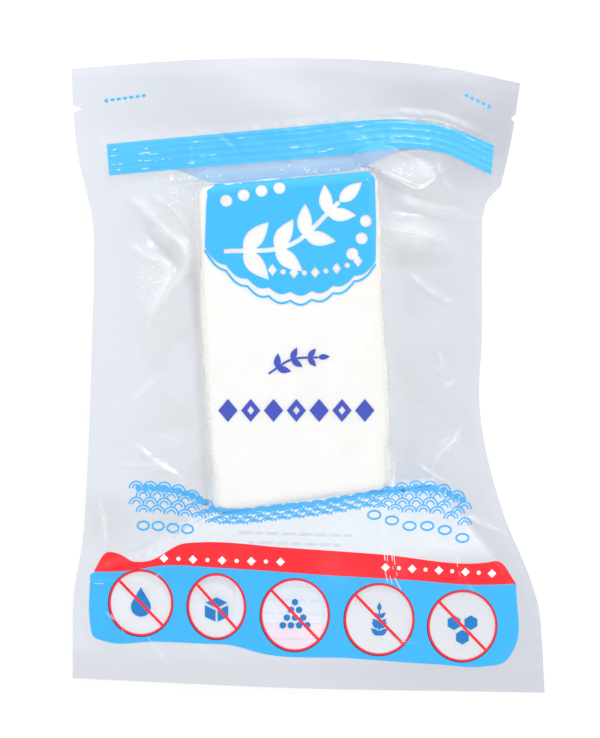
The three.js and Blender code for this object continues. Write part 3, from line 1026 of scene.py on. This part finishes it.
# Each ink's colour on the print, and the share of light that it stops
inks = {
    "zip_blue": (linear(84, 192, 249), 1.0),
    "sky_blue": (linear(66, 184, 248), 1.0),
    "line_blue": (linear(84, 182, 244), 1.0),
    "sign_blue": (linear(38, 128, 204), 1.0),
    "violet": (linear(72, 87, 188), 1.0),
    "red": (linear(252, 46, 58), 1.0),
    "shade": (linear(70, 40, 80), 1.0),
    "white": (linear(250, 251, 253), 1.0),
    # A faint painted wash of light inside the rings, not ink
    "ring_light_wash": (linear(244, 248, 255), 0.12),
    # Painted glints, not ink: a part see-through white
    "painted_glint": (linear(252, 253, 255), 0.7),
    "back_white": (linear(200, 228, 255), 0.3),
    "back_lilac": (linear(120, 146, 236), 0.7),
    "back_pale": (linear(150, 170, 240), 0.25),
    "back_pink": (linear(246, 206, 232), 0.45),
}
film_slots = ["clear"] + list(inks)


def sheet_points(step, seed):
    """Plan points spread evenly over a sheet, sparser over the flat top of the block."""
    low = np.min(outline, axis=0)
    high = np.max(outline, axis=0)
    xs, ys = np.meshgrid(np.arange(low[0], high[0], step), np.arange(low[1], high[1], step * 0.9))
    x = xs.ravel()
    y = ys.ravel()
    shift = np.random.default_rng(seed)
    x = x + shift.uniform(-point_scatter, point_scatter, x.shape) * step
    y = y + shift.uniform(-point_scatter, point_scatter, y.shape) * step
    outside = outside_block(*block_axes(x, y))
    keep = line_foot(x, y, closed_outline)[0] > step * 0.6
    flat = outside < -block_edge - 2
    sparse = shift.uniform(0, 1, x.shape) < (step / flat_step) ** 2
    keep &= ~flat | sparse
    return np.column_stack([x, y])[keep]


def anticlockwise(shape):
    """The outline in anticlockwise order."""
    x, y = np.array(shape).T
    area = np.dot(x, np.roll(y, -1)) - np.dot(y, np.roll(x, -1))
    return shape if area > 0 else shape[::-1]


def cut_sheet(points, shapes, lines=()):
    """Plan points and triangles that follow every printed shape and line, with the ink on each triangle."""
    coords = [Vector(p) for p in outline]
    faces = [list(range(len(outline)))]
    edges = []
    for _, shape in shapes:
        start = len(coords)
        coords += [Vector(p) for p in anticlockwise(shape)]
        faces.append(list(range(start, len(coords))))
    for line in lines:
        start = len(coords)
        coords += [Vector(p) for p in line]
        edges += [(i, i + 1) for i in range(start, len(coords) - 1)]
    coords += [Vector(p) for p in points]
    plan, _, tris, sources, _, owners = delaunay_2d_cdt(coords, edges, faces, 1, 1e-4, True)
    slots = [0] + [film_slots.index(name) for name, _ in shapes]
    kept = [(tri, slots[max(owner)]) for tri, owner in zip(tris, owners) if 0 in owner]
    rim_place = {min(source): i for i, source in enumerate(sources) if source and min(source) < len(outline)}
    return {
        "plan": np.array([tuple(point) for point in plan]),
        "tris": np.array([tri for tri, _ in kept]),
        "slots": np.array([slot for _, slot in kept]),
        "rim": np.array([rim_place[i] for i in range(len(outline))]),
    }


def sheet_shape(sheet, side):
    """Points, upward normals, tint and milkiness of one side of the pouch over a cut sheet, painted light and
    shade included.
    """
    x, y = sheet["plan"].T
    front, back, tent, outside = film_heights(x, y)
    z = (front, back)[side]
    z[sheet["rim"]] = (front + back)[sheet["rim"]] / 2
    slope_x = film_heights(x + slope_step, y)[side] - film_heights(x - slope_step, y)[side]
    slope_y = film_heights(x, y + slope_step)[side] - film_heights(x, y - slope_step)[side]
    normals = np.column_stack([-slope_x, -slope_y, np.full_like(x, 2 * slope_step)])
    normals /= np.linalg.norm(normals, axis=1, keepdims=True)
    return np.column_stack([x, y, z]), normals, *film_tint_and_light(x, y, tent, outside, side)


def pouch_mesh():
    """Front and back sheets joined along the rim into one closed skin."""
    guide_lines = [line for line, _, _ in all_creases]
    for fold in (bottom_tent, right_ear, right_pleat):
        guide_lines.append(even_line(fold["line"]))
    for rib in zip_ribs:
        guide_lines += [zip_line(rib - zip_rib_half), zip_line(rib), zip_line(rib + zip_rib_half)]
    front = cut_sheet(sheet_points(film_step, film_seed), prints, guide_lines)
    back = cut_sheet(sheet_points(film_step * back_coarseness, film_seed + 1), back_prints)
    front_points, front_normals, front_tint, front_milk = sheet_shape(front, 0)
    back_points, back_normals, back_tint, back_milk = sheet_shape(back, 1)
    places = np.arange(len(back["plan"])) + len(front["plan"])
    places[back["rim"]] = front["rim"]
    back_tris = places[back["tris"]][:, ::-1]
    tris = np.vstack([front["tris"], back_tris])
    points = np.vstack([front_points, back_points])
    tint = np.vstack([front_tint, back_tint])
    milk = np.concatenate([front_milk, back_milk])
    used, tris = np.unique(tris, return_inverse=True)
    tris = tris.reshape(-1, 3)
    mesh = bpy.data.meshes.new("pouch_film")
    mesh.from_pydata((points[used] * MM).tolist(), [], tris.tolist())
    mesh.polygons.foreach_set("material_index", np.concatenate([front["slots"], back["slots"]]))
    # The film's milkiness and tint, painted light and shade included, go on the mesh point by point
    mesh.attributes.new("milk", "FLOAT", "POINT").data.foreach_set("value", milk[used])
    tint_there = np.column_stack([tint[used], np.ones(len(used))])
    mesh.attributes.new("tint_and_light", "FLOAT_COLOR", "POINT").data.foreach_set("color", tint_there.ravel())
    mesh.shade_smooth()
    corner_normals = np.vstack([
        front_normals[front["tris"]].reshape(-1, 3),
        -back_normals[back["tris"][:, ::-1]].reshape(-1, 3),
    ])
    mesh.normals_split_custom_set(corner_normals.tolist())
    return mesh


pouch = bpy.data.objects.new("pouch_film", pouch_mesh())
pouch.data.materials.append(film_material())
for name, (color, cover) in inks.items():
    pouch.data.materials.append(ink_material("ink_" + name, color, cover))
bpy.context.collection.objects.link(pouch)
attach(pouch, "root")
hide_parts("sealed_pouch")

# The zip: an extruded strip of milky blue plastic whose two ribbed halves are pressed shut. It is welded to
# the inside of the front sheet under the printed band, and a thin skirt hangs from it down to the block.
strip_lower = [
    (-85.6, 86.8), (-56, 88.2), (-44, 83.6), (-3.7, 85.4), (26, 90.4), (36, 95.2), (44, 97.2), (56, 96.2),
    (78.6, 87.4),
]
strip_upper = [
    (-85.6, 99), (-3.7, 106.4), (22.6, 108.8), (38.5, 109.3), (52.2, 107.9), (65.6, 104.4), (78.6, 99),
]
strip_columns = 120
strip_rows = 34
strip_gap = 0.12
skirt_thickness = 0.3
skirt_blend = 1.5
thinnest_strip = 0.05
strip_blue = linear(104, 200, 252)
strip_cover = 0.6


def strip_mesh():
    """A closed ribbed strip that follows the insides of both sheets of film."""
    xs = np.linspace(strip_lower[0][0], strip_lower[-1][0], strip_columns)
    shares = np.linspace(0, 1, strip_rows)
    low = through(strip_lower, xs)[:, None]
    high = through(strip_upper, xs)[:, None]
    y = low + (high - low) * shares[None, :]
    x = np.repeat(xs[:, None], strip_rows, axis=1)
    front, back, _, _ = film_heights(x.ravel(), y.ravel())
    top = front - strip_gap
    hem = through(zip_bottom, x.ravel())
    skirt = ramp(y.ravel(), hem, hem - skirt_blend)
    bottom = back + strip_gap
    bottom = np.maximum(bottom, bottom + (top - skirt_thickness - bottom) * skirt)
    bottom = np.minimum(bottom, top - thinnest_strip)
    points = np.vstack([np.column_stack([x.ravel(), y.ravel(), z]) for z in (top, bottom)])
    count = strip_columns * strip_rows
    place = np.arange(count).reshape(strip_columns, strip_rows)
    quads = np.stack([place[:-1, :-1], place[1:, :-1], place[1:, 1:], place[:-1, 1:]], axis=-1).reshape(-1, 4)
    rim = np.concatenate([place[:-1, 0], place[-1, :-1], place[:0:-1, -1], place[0, :0:-1]])
    onward = np.roll(rim, -1)
    walls = np.column_stack([rim, rim + count, onward + count, onward])
    mesh = bpy.data.meshes.new("zip_strip")
    faces = np.vstack([quads, quads[:, ::-1] + count, walls])
    mesh.from_pydata((points * MM).tolist(), [], faces.tolist())
    mesh.shade_smooth()
    return mesh


def strip_material():
    """Milky blue extruded plastic, drawn with fine lines along its length."""
    material, shader = principled("zip_plastic", strip_blue, 0.3)
    shader.inputs["Alpha"].default_value = strip_cover
    add_bump(material, shader, scale=300, strength=0.1, distance=0.0003)
    return material


strip = bpy.data.objects.new("zip_strip", strip_mesh())
strip.data.materials.append(strip_material())
bpy.context.collection.objects.link(strip)
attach(strip, "root")
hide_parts("sealed_pouch")

# The floor: a plain white sheet on a table, lit so that it stays white round the pouch that lies on it.
# It is only the stage, and no part of the object.
half_floor = 3.0
floor_glow = 0.72
floor_mesh = bpy.data.meshes.new("floor")
floor_corners = [(-1, -1), (1, -1), (1, 1), (-1, 1)]
floor_mesh.from_pydata([(x * half_floor, y * half_floor, 0) for x, y in floor_corners], [], [(0, 1, 2, 3)])
floor_material, floor_shader = principled("floor_white", (0.3, 0.3, 0.3), 0.8)
set_inputs(floor_shader, {"Emission Color": (1, 1, 1, 1), "Emission Strength": floor_glow})
floor_mesh.materials.append(floor_material)
floor = bpy.data.objects.new("floor", floor_mesh)
bpy.context.collection.objects.link(floor)

# The light and the camera: a dim white studio with soft boxes all round, which show the film's folds, one key
# light on the block, and two small lamps that glint on the creases. A long lens looks straight down, as a
# pack is shot for a catalogue.
studio_strength = 0.47
scene = bpy.context.scene
world = bpy.data.worlds.new("studio")
world.use_nodes = True
set_inputs(world.node_tree.nodes["Background"], {"Color": (1, 1, 1, 1), "Strength": studio_strength})
scene.world = world


def soft_box(name, place, width, height, radiance):
    """A rectangular light that looks at the pouch, as bright as its radiance from any distance."""
    lamp = bpy.data.lights.new(name, "AREA")
    lamp.shape = "RECTANGLE"
    lamp.size = width
    lamp.size_y = height
    lamp.energy = radiance * math.pi * width * height
    box = bpy.data.objects.new(name, lamp)
    box.location = place
    box.rotation_euler = (-Vector(place)).to_track_quat("-Z", "Y").to_euler()
    bpy.context.collection.objects.link(box)


soft_box("low_left", (-1.6, 0, 0.45), 2.4, 0.8, 0.8)
soft_box("low_right", (1.6, 0, 0.45), 2.4, 0.8, 0.7)
soft_box("low_head", (0, 1.6, 0.45), 2.4, 0.8, 1.2)
soft_box("low_foot", (0, -1.6, 0.45), 2.4, 0.8, 1.6)
soft_box("key_light", (0.35, 0.85, 1.2), 0.3, 0.3, 33.5)
soft_box("left_box", (-1.2, 0.3, 1.15), 0.9, 1.2, 0.7)
soft_box("right_box", (1.25, 0.1, 1.1), 0.8, 1.2, 0.7)
soft_box("left_glint", (-0.9, 0.55, 0.9), 0.16, 0.16, 12)
soft_box("foot_glint", (0.35, -1.0, 0.7), 0.16, 0.16, 10)

photo_width = 600
photo_height = 738
photo_scale = 0.43
photo_middle = (308.5, 376.0)
camera_distance = 1600.0
focus_height = 10.0
sensor_width = 36.0
lens_data = bpy.data.cameras.new("camera")
lens_data.sensor_width = sensor_width
lens_data.lens = sensor_width * camera_distance / (photo_height * photo_scale)
camera = bpy.data.objects.new("camera", lens_data)
camera.location = (
    (photo_width / 2 - photo_middle[0]) * photo_scale * MM,
    (photo_middle[1] - photo_height / 2) * photo_scale * MM,
    (camera_distance + focus_height) * MM,
)
bpy.context.collection.objects.link(camera)
scene.camera = camera
scene.view_settings.view_transform = "Standard"
